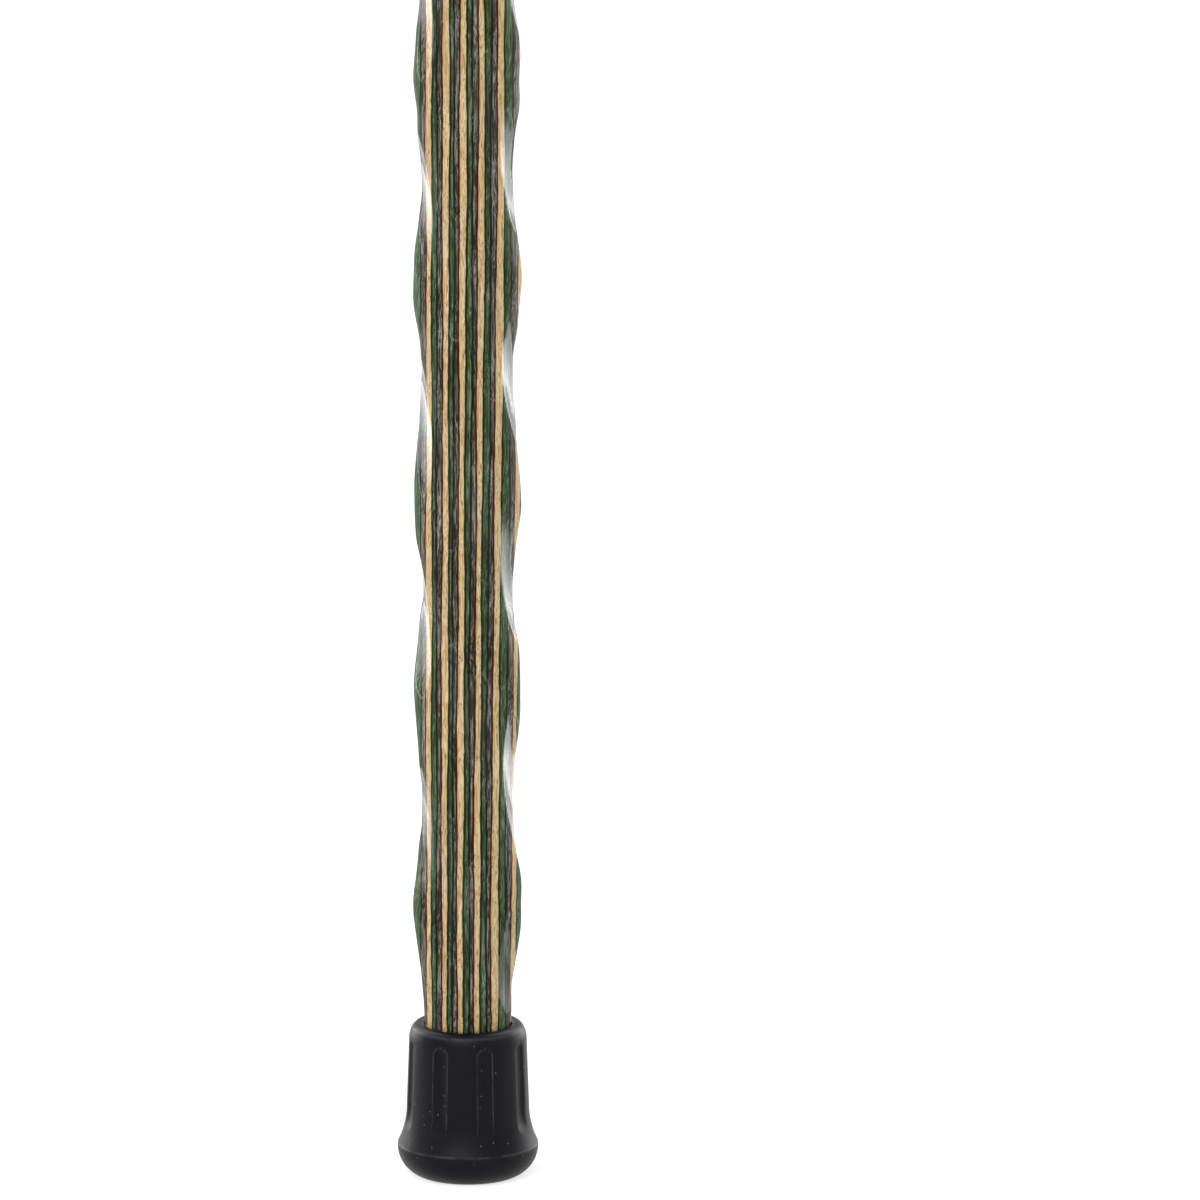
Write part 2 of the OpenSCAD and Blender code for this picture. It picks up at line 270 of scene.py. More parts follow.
def meshFromRings(name, rings, live, corners=None, closed=True, polish=None):
    # Rings of points, one above the other, joined by faces. A ring drawn to one point ends a piece,
    # and faces between two such rings are left out. Equal points are welded. Where corners are given,
    # an edge between two points of one corner, numbered from 1, is sharp.
    rows, columns = rings.shape[:2]
    points = rings.reshape(-1, 3)
    column = np.arange(columns)
    nextColumn = (column + 1) % columns
    row = np.arange(rows - 1)[:, None] * columns
    quads = np.stack([row + column, row + nextColumn, row + columns + nextColumn, row + columns + column], -1)
    quads = quads[live[:-1] | live[1:]].reshape(-1, 4)
    keys = np.round(points / 1e-8).astype(np.int64)
    _, first, welded = np.unique(keys, axis=0, return_index=True, return_inverse=True)
    welded = welded.reshape(-1)
    quads = welded[quads]
    whole = np.all(quads != np.roll(quads, 1, axis=1), axis=1) & (quads[:, 0] != quads[:, 2]) & (
        quads[:, 1] != quads[:, 3])
    broken = quads[~whole]
    triangles = np.concatenate([broken[:, [0, 1, 2]], broken[:, [0, 2, 3]]])
    triangles = triangles[np.all(triangles != np.roll(triangles, 1, axis=1), axis=1)]
    caps = []
    if closed:
        for ring, isLive in ((column[::-1], live[0]), ((rows - 1) * columns + column, live[-1])):
            cap = welded[ring]
            cap = cap[cap != np.roll(cap, 1)]
            if isLive and len(cap) > 2:
                caps.append(cap)
    loops = np.concatenate([quads[whole].ravel(), triangles.ravel()] + caps)
    used, compact = np.unique(loops, return_inverse=True)
    lengths = np.array([4] * int(whole.sum()) + [3] * len(triangles) + [len(cap) for cap in caps])
    mesh = bpy.data.meshes.new(name)
    mesh.vertices.add(len(used))
    mesh.vertices.foreach_set("co", (points[first[used]] * mm).ravel())
    mesh.loops.add(len(compact))
    mesh.loops.foreach_set("vertex_index", compact.astype(np.int32).ravel())
    mesh.polygons.add(len(lengths))
    mesh.polygons.foreach_set("loop_start", (np.cumsum(lengths) - lengths).astype(np.int32))
    mesh.update(calc_edges=True)
    mesh.validate()
    mesh.shade_smooth()
    mesh.set_sharp_from_angle(angle=math.radians(40))
    # the ferrule's edge mark: how polished each point is, and how much highlight is painted there
    if polish is not None:
        mark = mesh.attributes.new("polish", "FLOAT", "POINT")
        mark.data.foreach_set("value", polish.ravel()[first[used]].astype(np.float32))
    if corners is not None:
        tag = corners.ravel()[first[used]]
        ends = np.zeros(len(mesh.edges) * 2, np.int32)
        mesh.edges.foreach_get("vertices", ends)
        ends = tag[ends.reshape(-1, 2)]
        sharp = np.zeros(len(mesh.edges), bool)
        edgeMarks = mesh.attributes.get("sharp_edge") or mesh.attributes.new("sharp_edge", "BOOLEAN", "EDGE")
        edgeMarks.data.foreach_get("value", sharp)
        edgeMarks.data.foreach_set("value", sharp | ((ends[:, 0] == ends[:, 1]) & (ends[:, 0] > 0)))
    piece = bpy.data.objects.new(name, mesh)
    bpy.context.scene.collection.objects.link(piece)
    return piece


def edgeLine(distance, width):
    # 1 on an edge, fading as a bell curve on both sides of it
    return np.exp(-(distance / width) ** 2)


def markSurface(piece, number):
    # How far each point is from the glue lines on its left and right, in mm along the surface, so
    # that a line is as wide where it is cut at a slant. Where a scoop cut it last: 1 there, where
    # the varnish lies smooth, and 0 on the ridges. And the creases where two cuts meet, along which a pale
    # highlight is painted.
    mesh = piece.data
    place, normal = np.zeros((2, len(mesh.vertices) * 3), np.float32)
    mesh.vertices.foreach_get("co", place)
    mesh.vertex_normals.foreach_get("vector", normal)
    x, y, z = place[0::3] / mm, place[1::3] / mm, place[2::3] / mm
    slant = np.sqrt(np.maximum(1 - normal[0::3] ** 2, veneers["slantLeast"]))
    angle = np.arctan2(y, x)
    deepest, second = scoopRadius(angle, z)
    proud = np.hypot(x, y) - deepest - scoops["waviness"] * climbingWaves(carving["waves"], angle, z)
    fresh = smoothStep(1.5 + proud / scoops["edgeRound"])
    edges = 4 * fresh * (1 - fresh)
    between = fresh * edgeLine(second - deepest, scoops["creaseWidth"])
    marks = {
        "fromLeft": (x - planeOrEnd(number - 1, z)) / slant,
        "fromRight": (planeOrEnd(number, z) - x) / slant,
        "freshCut": fresh,
        "crease": np.maximum(edges, between),
    }
    for name, values in marks.items():
        mark = mesh.attributes.get(name) or mesh.attributes.new(name, "FLOAT", "POINT")
        mark.data.foreach_set("value", values.astype(np.float32))


def makeVeneer(number, name):
    # One veneer: at each height, the carved outline's front and back between two glue lines.
    index = number - veneers["middle"]
    count = veneers["sidePoints"] if abs(index) >= veneers["lastFoot"] else veneers["points"]
    left = np.clip(planeOrEnd(number - 1, rowHeights), reachLeft, reachRight)
    right = np.clip(planeOrEnd(number, rowHeights), reachLeft, reachRight)
    steps = np.linspace(0, 1, count)[None, :]
    frontLeft, frontRight = angleAt("front", left)[:, None], angleAt("front", right)[:, None]
    backLeft, backRight = angleAt("back", left)[:, None], angleAt("back", right)[:, None]
    angles = np.concatenate([
        frontLeft + (frontRight - frontLeft) * steps,
        backRight + (backLeft - backRight) * steps,
    ], axis=1)
    radius = shaftRadius(angles, rowZ)
    height = np.broadcast_to(rowZ, angles.shape)
    rings = np.stack([radius * np.cos(angles), radius * np.sin(angles), height], -1)
    live = right - left > veneers["thinnest"]
    rings[~live] = rings[~live][:, :1]
    corners = np.zeros(angles.shape, np.int32)
    # the four corners of each ring make sharp edges, where the glued face between two is wide enough
    wide = live & (np.linalg.norm(rings[:, count - 1] - rings[:, count], axis=1) > veneers["sharpFace"])
    corners[wide, count - 1], corners[wide, count] = 1, 2
    wide = live & (np.linalg.norm(rings[:, 0] - rings[:, -1], axis=1) > veneers["sharpFace"])
    corners[wide, 0], corners[wide, -1] = 3, 4
    return meshFromRings(name, rings, live, corners)


def drillStrapHole(pieces):
    # A drill along Y with a countersink at each mouth, taken off the veneers that it meets.
    z = shaft["top"] - shaft["holeDrop"]
    radius, chamfer = shaft["holeRadius"], shaft["holeChamfer"]
    front = float(shaftRadius(np.array([[-np.pi / 2]]), np.array([[z]]))[0, 0])
    back = float(shaftRadius(np.array([[np.pi / 2]]), np.array([[z]]))[0, 0])
    clear = 2  # how far the drill stands out at both ends, in mm
    along = np.array([-front - clear, -front - chamfer, -front + chamfer,
                      back - chamfer, back + chamfer, back + clear])
    mouth = radius + 2 * chamfer
    wide = np.array([mouth, mouth, radius, radius, mouth, mouth])
    turn = np.linspace(0, 2 * np.pi, shaft["holeSides"] + 1)[None, :-1]
    rings = np.stack([
        wide[:, None] * np.sin(turn),
        np.broadcast_to(along[:, None], (len(along), turn.shape[1])),
        z + wide[:, None] * np.cos(turn),
    ], -1)
    drill = meshFromRings("drill", rings, np.ones(len(along), bool))
    for piece in pieces:
        cut = piece.modifiers.new("hole", "BOOLEAN")
        cut.operation, cut.solver, cut.object = "DIFFERENCE", "EXACT", drill
        bpy.context.view_layer.update()
        done = bpy.data.meshes.new_from_object(piece.evaluated_get(bpy.context.evaluated_depsgraph_get()))
        piece.modifiers.clear()
        piece.data = done
        done.shade_smooth()
        done.set_sharp_from_angle(angle=math.radians(40))
    bpy.data.objects.remove(drill)


def linear(hexColour):
    # sRGB hex to the linear colour that the shaders take
    parts = [int(hexColour[i:i + 2], 16) / 255 for i in (1, 3, 5)]
    return tuple(c / 12.92 if c <= 0.04045 else ((c + 0.055) / 1.055) ** 2.4 for c in parts) + (1.0,)


def addNode(tree, kind, settings=None, inputs=None):
    # Adds a node. An input is a number, a colour, or another node's output to link.
    node = tree.nodes.new(kind)
    for key, value in (settings or {}).items():
        if key == "stops":
            ramp = node.color_ramp
            while len(ramp.elements) < len(value):
                ramp.elements.new(0.5)
            for element, (position, colour) in zip(ramp.elements, value):
                element.position, element.color = position, linear(colour)
        else:
            setattr(node, key, value)
    for key, value in (inputs or {}).items():
        if isinstance(value, bpy.types.NodeSocket):
            tree.links.new(value, node.inputs[key])
        else:
            node.inputs[key].default_value = value
    return node


def newMaterial(name):
    material = bpy.data.materials.new(name)
    material.use_nodes = True
    material.node_tree.nodes.clear()
    return material, material.node_tree


# Sliced hardwood veneer, dyed right through or left natural, glued, carved and varnished. The eye
# sees fibres that run up the staff, open pores, dark glue lines, and a clear gloss over all of it.
veneerLooks = {
    "green": {
        "material": "dyedGreenVeneer",
        "stops": [(0.38, "#182010"), (0.45, "#2f4123"), (0.50, "#425837"),
                  (0.55, "#54704a"), (0.62, "#86997b")],
        "pore": "#0c1406",
        "fleck": "#8aa386",
        "fleckPart": 0.15,
        "stain": "#141a08",
        "stainPart": 0.85,
        "leftGlue": "#221e03",
        "leftWidth": 0.52,
        "rightGlue": "#151707",
        "rightWidth": 0.34,
        "shift": (0.0, 0.0, 0.0),
    },
    "grey": {
        "material": "dyedCharcoalVeneer",
        "stops": [(0.40, "#191511"), (0.46, "#352f2b"), (0.50, "#514b47"),
                  (0.54, "#726c66"), (0.61, "#a39c94")],
        "pore": "#0f0b0b",
        "fleck": "#a9a59f",
        "fleckPart": 0.6,
        "stain": "#24160d",
        "stainPart": 0.6,
        "leftGlue": "#151306",
        "leftWidth": 0.32,
        "rightGlue": "#351a04",
        "rightWidth": 0.48,
        "shift": (0.31, 0.17, 0.53),
    },
    "natural": {
        "material": "naturalHardwoodVeneer",
        "stops": [(0.37, "#ba9159"), (0.45, "#d4b381"), (0.50, "#e2c798"),
                  (0.56, "#e9d3a8"), (0.65, "#f0dfb9")],
        "pore": "#8a5c2c",
        "fleck": "#a3713c",
        "fleckPart": 0.65,
        "stain": "#bd8450",
        "stainPart": 0.65,
        "leftGlue": "#3a1b08",
        "leftWidth": 0.13,
        "rightGlue": "#221f05",
        "rightWidth": 0.17,
        "shift": (0.73, 0.41, 0.19),
    },
}


# Patterns in the veneers: their size in mm across the veneer, along its face and up the staff, and
# the noise that draws them.
veneerPatterns = {
    "fibre": ((0.35, 0.45, 15), {"Detail": 6.0, "Roughness": 0.70}),
    "cloud": ((1.6, 3, 25), {"Detail": 2.0}),  # cloudy dye uptake
    "pore": ((0.22, 0.28, 3.2), {"Detail": 1.0}),  # half as wide again as real pores, so that they show
    "fleck": ((0.3, 0.4, 7), {"Detail": 2.0, "Distortion": 0.4}),  # flecks and split fibres
    "ragged": ((0.8, 1.0, 4), {"Detail": 3.0}),  # along the edges of the glue lines
    "bleed": ((1.1, 4, 18), {"Detail": 3.0}),  # where glue and dye ran into the wood
}


def addPattern(tree, place, sizes, noise, shift=(0.0, 0.0, 0.0)):
    # noise stretched to a real size in mm along each axis
    stretched = addNode(tree, "ShaderNodeMapping", inputs={
        "Vector": place, "Location": shift, "Scale": [1 / (size * mm) for size in sizes]})
    return addNode(tree, "ShaderNodeTexNoise", inputs={
        "Vector": stretched.outputs["Vector"], "Scale": 1.0, **noise}).outputs["Fac"]


def makeVeneerMaterial(look):
    material, tree = newMaterial(look["material"])
    place = addNode(tree, "ShaderNodeTexCoord").outputs["Object"]
    smooth = {"interpolation_type": "SMOOTHSTEP"}
    pattern = {name: addPattern(tree, place, sizes, noise, look["shift"])
               for name, (sizes, noise) in veneerPatterns.items()}
    tone = addNode(tree, "ShaderNodeMix", {"data_type": "FLOAT"}, {
        0: 0.25, 2: pattern["fibre"], 3: pattern["cloud"]})
    wood = addNode(tree, "ShaderNodeValToRGB", {"stops": look["stops"]}, {"Fac": tone.outputs[0]})
    pores = addNode(tree, "ShaderNodeMapRange", smooth, {
        "Value": pattern["pore"], "From Min": 0.60, "From Max": 0.68, "To Min": 0.0, "To Max": 0.85})
    # the flecks are thick in some places and rare in others
    crowd = addNode(tree, "ShaderNodeMath", {"operation": "MULTIPLY_ADD"}, {
        0: pattern["cloud"], 1: 0.5, 2: pattern["fleck"]})
    flecks = addNode(tree, "ShaderNodeMapRange", smooth, {
        "Value": crowd.outputs["Value"], "From Min": 0.83, "From Max": 0.91,
        "To Min": 0.0, "To Max": look["fleckPart"]})
    # the glue lines are as wide as the look says, in mm, and their edges are ragged along the grain
    distances, glue = {}, {}
    for side in ("left", "right"):
        fromLine = addNode(tree, "ShaderNodeAttribute", {"attribute_name": "from" + side.capitalize()})
        distances[side] = addNode(tree, "ShaderNodeMath", {"operation": "MULTIPLY_ADD"}, {
            0: pattern["ragged"], 1: 0.32, 2: fromLine.outputs["Fac"]}).outputs["Value"]
        width = look[side + "Width"] + 0.16  # the ragged edge adds 0.16 mm on average
        glue[side] = addNode(tree, "ShaderNodeMapRange", smooth, {
            "Value": distances[side], "From Min": width - 0.14, "From Max": width + 0.10,
            "To Min": 1.0, "To Max": 0.0}).outputs["Result"]
    # glue and dye have bled into the wood beside the left line, here and there
    beside = addNode(tree, "ShaderNodeMapRange", smooth, {
        "Value": distances["left"], "From Min": 0.30, "From Max": 1.15, "To Min": 1.0, "To Max": 0.0})
    patches = addNode(tree, "ShaderNodeMapRange", smooth, {
        "Value": pattern["bleed"], "From Min": 0.50, "From Max": 0.64,
        "To Min": 0.0, "To Max": look["stainPart"]})
    stains = addNode(tree, "ShaderNodeMath", {"operation": "MULTIPLY"}, {
        0: beside.outputs["Result"], 1: patches.outputs["Result"]})
    # a pale highlight is painted along the creases between two cuts, in broken lines
    crease = addNode(tree, "ShaderNodeAttribute", {"attribute_name": "crease"})
    broken = addNode(tree, "ShaderNodeMapRange", smooth, {
        "Value": pattern["cloud"], "From Min": 0.36, "From Max": 0.62, "To Min": 0.05, "To Max": 0.36})
    paintedCreaseHighlight = addNode(tree, "ShaderNodeMath", {"operation": "MULTIPLY"}, {
        0: crease.outputs["Fac"], 1: broken.outputs["Result"]})
    layers = (
        (pores.outputs["Result"], look["pore"]),
        (flecks.outputs["Result"], look["fleck"]),
        (stains.outputs["Value"], look["stain"]),
        (glue["left"], look["leftGlue"]),
        (glue["right"], look["rightGlue"]),
        # the painted pale highlight along the creases
        (paintedCreaseHighlight.outputs["Value"], "#c2c8ba"),
    )
    colour = wood.outputs["Color"]
    for mask, layerColour in layers:
        colour = addNode(tree, "ShaderNodeMix", {"data_type": "RGBA"}, {
            0: mask, 6: colour, 7: linear(layerColour)}).outputs[2]
    # the varnish lies in soft runs 5 mm apart over the carving, and the fibres show through it
    grainBump = addNode(tree, "ShaderNodeBump", inputs={
        "Strength": 0.5, "Distance": 0.00003, "Height": pattern["fibre"]})
    varnish = addPattern(tree, place, (5, 5, 12), {"Detail": 2.0})
    varnishBump = addNode(tree, "ShaderNodeBump", inputs={
        "Strength": 0.5, "Distance": 0.00012, "Height": varnish, "Normal": grainBump.outputs["Normal"]})
    # it is glossy where a scoop was cut last, and rubbed matt on the ridges
    fresh = addNode(tree, "ShaderNodeAttribute", {"attribute_name": "freshCut"})
    rough = addNode(tree, "ShaderNodeMapRange", inputs={
        "Value": fresh.outputs["Fac"], "From Min": 0.0, "From Max": 1.0, "To Min": 0.80, "To Max": 0.03})
    shader = addNode(tree, "ShaderNodeBsdfPrincipled", inputs={
        "Base Color": colour, "Roughness": rough.outputs["Result"], "Specular IOR Level": 0.14,
        "Normal": varnishBump.outputs["Normal"]})
    addNode(tree, "ShaderNodeOutputMaterial", inputs={"Surface": shader.outputs["BSDF"]})
    return material


veneerMaterials = {kind: makeVeneerMaterial(look) for kind, look in veneerLooks.items()}
holedPieces = []
for number in range(1, veneers["count"] + 1):
    kind = veneers["kinds"][(number - 1) % 3]
    node = f"veneer_{number:02d}_{kind}"
    piece = makeVeneer(number, f"veneer{number:02d}{kind.capitalize()}")
    piece.data.materials.append(veneerMaterials[kind])
    if abs(number - veneers["middle"]) <= veneers["holed"]:
        holedPieces.append((piece, number))
    else:
        markSurface(piece, number)
    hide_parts(node)
    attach(piece, "shaft")
drillStrapHole([piece for piece, number in holedPieces])
for piece, number in holedPieces:
    markSurface(piece, number)
print("veneers made:", veneers["count"])

# The rubber ferrule, in millimetres, as in the part's source but for the rim's fuller round and
# the place of the flutes.
ferrule = {
    "height": 45.7,
    "floor": 12.7,
    "socketRadius": 12.5,
    "rimRadius": 17.3,
    "wallRadius": 18.0,
    "lipRadius": 20.68,  # a hair inside the source's 20.7
    "lipHeight": 8.6,
    "lipBand": 0.8,
    "lipRound": 0.35,
    "flareHeight": 21.0,
    "treadRadius": 14.6,
    "rimRound": 3.0,
    "rimDrop": 4.6,  # the rim's round starts this far below its top
    "mouthRound": 1.2,
    "flutes": 8,
    "fluteTurn": 17.0,  # how far the first flute is turned from the front, in degrees
    "fluteWidth": 4.8,
    "fluteDepth": 0.9,
    "fluteTop": 39.1,  # centre of the round top of a flute
    "fluteFoot": 16.9,
    "fluteRound": 0.20,  # rounding of a flute's edge
    "fluteFade": (12.5, 21.5),  # a flute runs out into the flare between these heights
    "grooves": 3,
    "grooveStart": 3.2,
    "groovePitch": 3.4,
    "grooveWidth": 1.4,
    "grooveDepth": 1.5,
    "columns": 480,
}


def ferruleProfile():
    # Radius and height of the outline: the grooved tread, the bowl, the lip, the hollow flare, the
    # leaning wall, the rounded rim and mouth, and the socket down to its floor.
    f = ferrule
    treadR, treadZ = [0.0], [0.0]
    for i in range(f["grooves"]):
        middle = f["grooveStart"] + i * f["groovePitch"]
        inner, outer = middle - f["grooveWidth"] / 2, middle + f["grooveWidth"] / 2
        treadR += [inner - 0.15, inner, inner + 0.02, outer - 0.02, outer, outer + 0.15]
        treadZ += [0, 0.12, f["grooveDepth"], f["grooveDepth"], 0.12, 0]
    rise = f["lipRadius"] - f["treadRadius"]
    bowl = (rise**2 + f["lipHeight"] ** 2) / (2 * rise)
    bowlTurn = np.linspace(-math.asin(f["lipHeight"] / bowl), 0, 26)
    flareLow = f["lipHeight"] + f["lipBand"]
    reach, drop = f["lipRadius"] - f["wallRadius"], f["flareHeight"] - flareLow
    flare = (reach**2 + drop**2) / (2 * reach)
    lipTurn = np.linspace(0, math.radians(62), 6)  # a small round on the lip's upper edge
    flareZ = np.linspace(flareLow + 0.12, f["flareHeight"], 36)
    wallTop = f["height"] - f["rimDrop"]
    lean = (f["wallRadius"] - f["rimRadius"]) / (wallTop - f["flareHeight"])
    wallZ = np.linspace(f["flareHeight"], wallTop, 52)[1:]
    rimTurn = np.linspace(0, np.pi / 2, 16)[1:]
    mouthTurn = np.linspace(np.pi / 2, np.pi, 10)
    radius = np.concatenate([
        treadR, [f["treadRadius"] - 0.1],
        f["lipRadius"] - bowl + bowl * np.cos(bowlTurn),
        f["lipRadius"] - f["lipRound"] + f["lipRound"] * np.cos(lipTurn),
        f["wallRadius"] + flare - np.sqrt(flare**2 - (flareZ - f["flareHeight"]) ** 2),
        f["wallRadius"] - lean * (wallZ - f["flareHeight"]),
        f["rimRadius"] - f["rimRound"] + f["rimRound"] * np.cos(rimTurn),
        f["socketRadius"] + f["mouthRound"] + f["mouthRound"] * np.cos(mouthTurn),
        np.full(6, f["socketRadius"]), [f["socketRadius"] - 0.4, 6.0, 0.0],
    ])
    height = np.concatenate([
        treadZ, [0.0],
        f["lipHeight"] + bowl * np.sin(bowlTurn),
        flareLow - f["lipRound"] + f["lipRound"] * np.sin(lipTurn),
        flareZ, wallZ,
        wallTop + f["rimDrop"] * np.sin(rimTurn),
        f["height"] - f["mouthRound"] + f["mouthRound"] * np.sin(mouthTurn),
        np.linspace(f["height"] - f["mouthRound"] - 1, f["floor"] + 0.4, 6), [f["floor"]] * 3,
    ])
    return radius, height


def makeFerrule():
    # The outline turned about the axis, with each flute scooped out by a round bar with ball ends.
    f = ferrule
    radius, height = ferruleProfile()
    turn = np.linspace(0, 2 * np.pi, f["columns"] + 1)[None, :-1]
    r = np.broadcast_to(radius[:, None], (len(radius), turn.shape[1])).copy()
    z = np.broadcast_to(height[:, None], r.shape)
    outside = (radius > f["socketRadius"] + f["mouthRound"] + 0.3) & (height > f["lipHeight"])
    bar = ((f["fluteWidth"] / 2) ** 2 + f["fluteDepth"] ** 2) / (2 * f["fluteDepth"])
    pitch = 2 * np.pi / f["flutes"]
    off = (turn - math.radians(f["fluteTurn"] - 90) + pitch / 2) % pitch - pitch / 2
    sideways = r * np.sin(off)
    beyond = np.maximum(z - f["fluteTop"], 0) + np.maximum(f["fluteFoot"] - z, 0)
    wallTop = f["height"] - f["rimDrop"]
    lean = (f["wallRadius"] - f["rimRadius"]) / (wallTop - f["flareHeight"])
    middle = f["rimRadius"] + lean * (wallTop - z) - f["fluteDepth"] + bar
    inside = bar**2 - sideways**2 - beyond**2
    scooped = np.where(inside > 0, middle - np.sqrt(np.maximum(inside, 0)), farOff)
    shallow = softMin(r, scooped, f["fluteRound"])
    fadeLow, fadeHigh = f["fluteFade"]
    runOut = smoothStep((z - fadeLow) / (fadeHigh - fadeLow))
    # handling has polished the edges of the flutes, lip, mouth and rim, and a highlight is painted along
    # them: how much of that is where
    fluteEdge = edgeLine(scooped - r, 0.09) * runOut * outside[:, None]
    lipEdge = edgeLine(z - f["lipHeight"] - f["lipBand"], 0.22) * (r > f["lipRadius"] - 0.8)
    mouthEdge = 1.5 * edgeLine(radius - f["socketRadius"] - 0.7, 0.22) * (height > f["height"] - 0.7)
    rimEdge = 0.6 * edgeLine(z - wallTop - 0.72 * f["rimDrop"], 0.28) * outside[:, None]
    edge = np.maximum.reduce([fluteEdge, lipEdge, rimEdge, np.broadcast_to(mouthEdge[:, None], r.shape)])
    r = np.where(outside[:, None], r + (np.minimum(shallow, r) - r) * runOut, r)
    rings = np.stack([r * np.cos(turn), r * np.sin(turn), z], -1)
    return meshFromRings("rubberFerrule", rings, np.ones(len(radius), bool), closed=False, polish=edge)


def makeRubberMaterial():
    # Moulded black rubber: a dull satin skin with a faint grain from the mould, edges that handling
    # has polished and that carry a painted highlight, and a few light specks of dust.
    material, tree = newMaterial("mouldedBlackRubber")
    place = addNode(tree, "ShaderNodeTexCoord").outputs["Object"]
    sheen = addNode(tree, "ShaderNodeTexNoise", inputs={"Vector": place, "Scale": 1 / 0.009, "Detail": 3.0})
    grain = addNode(tree, "ShaderNodeTexNoise", inputs={"Vector": place, "Scale": 1 / 0.0005, "Detail": 3.0})
    specks = addNode(tree, "ShaderNodeTexVoronoi", inputs={"Vector": place, "Scale": 1 / 0.0021})
    tone = addNode(tree, "ShaderNodeValToRGB", {"stops": [(0.3, "#090a0e"), (0.7, "#101115")]},
                   {"Fac": sheen.outputs["Fac"]})
    near = addNode(tree, "ShaderNodeMapRange", inputs={
        "Value": specks.outputs["Distance"], "From Min": 0.05, "From Max": 0.10,
        "To Min": 1.0, "To Max": 0.0})
    rare = addNode(tree, "ShaderNodeSeparateColor", inputs={"Color": specks.outputs["Color"]})
    chosen = addNode(tree, "ShaderNodeMath", {"operation": "GREATER_THAN"}, {0: rare.outputs["Red"], 1: 0.55})
    speck = addNode(tree, "ShaderNodeMath", {"operation": "MULTIPLY"}, {
        0: near.outputs["Result"], 1: chosen.outputs["Value"]})
    # the polished edges with their painted highlight, worn unevenly every 4 mm or so
    worn = addNode(tree, "ShaderNodeTexNoise", inputs={"Vector": place, "Scale": 1 / 0.004, "Detail": 2.0})
    wornPart = addNode(tree, "ShaderNodeMapRange", {"interpolation_type": "SMOOTHSTEP"}, {
        "Value": worn.outputs["Fac"], "From Min": 0.36, "From Max": 0.60, "To Min": 0.25, "To Max": 1.0})
    edge = addNode(tree, "ShaderNodeAttribute", {"attribute_name": "polish"})
    polishAndHighlightShare = addNode(tree, "ShaderNodeMath", {"operation": "MULTIPLY"}, {
        0: edge.outputs["Fac"], 1: wornPart.outputs["Result"]})
    # the edges are painted lighter grey, a painted highlight, besides being made less rough
    withPaintedEdgeHighlight = addNode(tree, "ShaderNodeMix", {"data_type": "RGBA"}, {
        0: polishAndHighlightShare.outputs["Value"], 6: tone.outputs["Color"], 7: linear("#47484b")})
    dusted = addNode(tree, "ShaderNodeMix", {"data_type": "RGBA"}, {
        0: speck.outputs["Value"], 6: withPaintedEdgeHighlight.outputs[2], 7: linear("#7d7e80")})
    skin = addNode(tree, "ShaderNodeMapRange", inputs={
        "Value": sheen.outputs["Fac"], "From Min": 0.3, "From Max": 0.7, "To Min": 0.36, "To Max": 0.46})
    rough = addNode(tree, "ShaderNodeMath", {"operation": "MULTIPLY_ADD"}, {
        0: polishAndHighlightShare.outputs["Value"], 1: -0.16, 2: skin.outputs["Result"]})
    bump = addNode(tree, "ShaderNodeBump", inputs={
        "Strength": 0.35, "Distance": 0.00004, "Height": grain.outputs["Fac"]})
    shader = addNode(tree, "ShaderNodeBsdfPrincipled", inputs={
        "Base Color": dusted.outputs[2], "Roughness": rough.outputs["Value"], "IOR": 1.52,
        "Specular IOR Level": 0.11, "Normal": bump.outputs["Normal"]})
    addNode(tree, "ShaderNodeOutputMaterial", inputs={"Surface": shader.outputs["BSDF"]})
    return material


def makeSteelMaterial():
    # Stamped steel with a thin zinc plating: grey metal, softly blurred, with faint rolling lines.
    material, tree = newMaterial("zincPlatedSteel")
    place = addNode(tree, "ShaderNodeTexCoord").outputs["Object"]
    lines = addPattern(tree, place, (0.3, 8, 0.3), {"Detail": 4.0})
    tone = addNode(tree, "ShaderNodeValToRGB", {"stops": [(0.3, "#a9abae"), (0.7, "#c9cbce")]},
                   {"Fac": lines})
    rough = addNode(tree, "ShaderNodeMapRange", inputs={
        "Value": lines, "From Min": 0.3, "From Max": 0.7, "To Min": 0.28, "To Max": 0.42})
    bump = addNode(tree, "ShaderNodeBump", inputs={
        "Strength": 0.3, "Distance": 0.00003, "Height": lines})
    shader = addNode(tree, "ShaderNodeBsdfPrincipled", inputs={
        "Base Color": tone.outputs["Color"], "Metallic": 1.0, "Roughness": rough.outputs["Result"],
        "Normal": bump.outputs["Normal"]})
    addNode(tree, "ShaderNodeOutputMaterial", inputs={"Surface": shader.outputs["BSDF"]})
    return material


rubberFerrule = makeFerrule()
rubberFerrule.data.materials.append(makeRubberMaterial())
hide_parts("rubber_ferrule")
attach(rubberFerrule, "foot")
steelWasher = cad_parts["steel_washer"]
steelWasher.data.materials.clear()
steelWasher.data.materials.append(makeSteelMaterial())
print("ferrule and washer made")

# Camera, floor and light. Lengths are in metres here.
studio = {
    "elevation": 14.0,
    "distance": 12.0,
    "target": (0.03884, 0.0, 0.1735),
    "frameWidth": 0.3519,  # what the picture's width covers at the staff
    "sensor": 36.0,
    "floorSize": 60.0,
    "fill": 0.50,
}

camera = bpy.data.objects.new("camera", bpy.data.cameras.new("camera"))
bpy.context.scene.collection.objects.link(camera)
rise = math.radians(studio["elevation"])
camera.location = (
    studio["target"][0],
    studio["target"][1] - studio["distance"] * math.cos(rise),
    studio["target"][2] + studio["distance"] * math.sin(rise),
)
camera.rotation_euler = (math.pi / 2 - rise, 0, 0)
camera.data.sensor_width = studio["sensor"]
camera.data.lens = studio["sensor"] * studio["distance"] / studio["frameWidth"]
camera.data.clip_start, camera.data.clip_end = 0.05, 200
bpy.context.scene.camera = camera


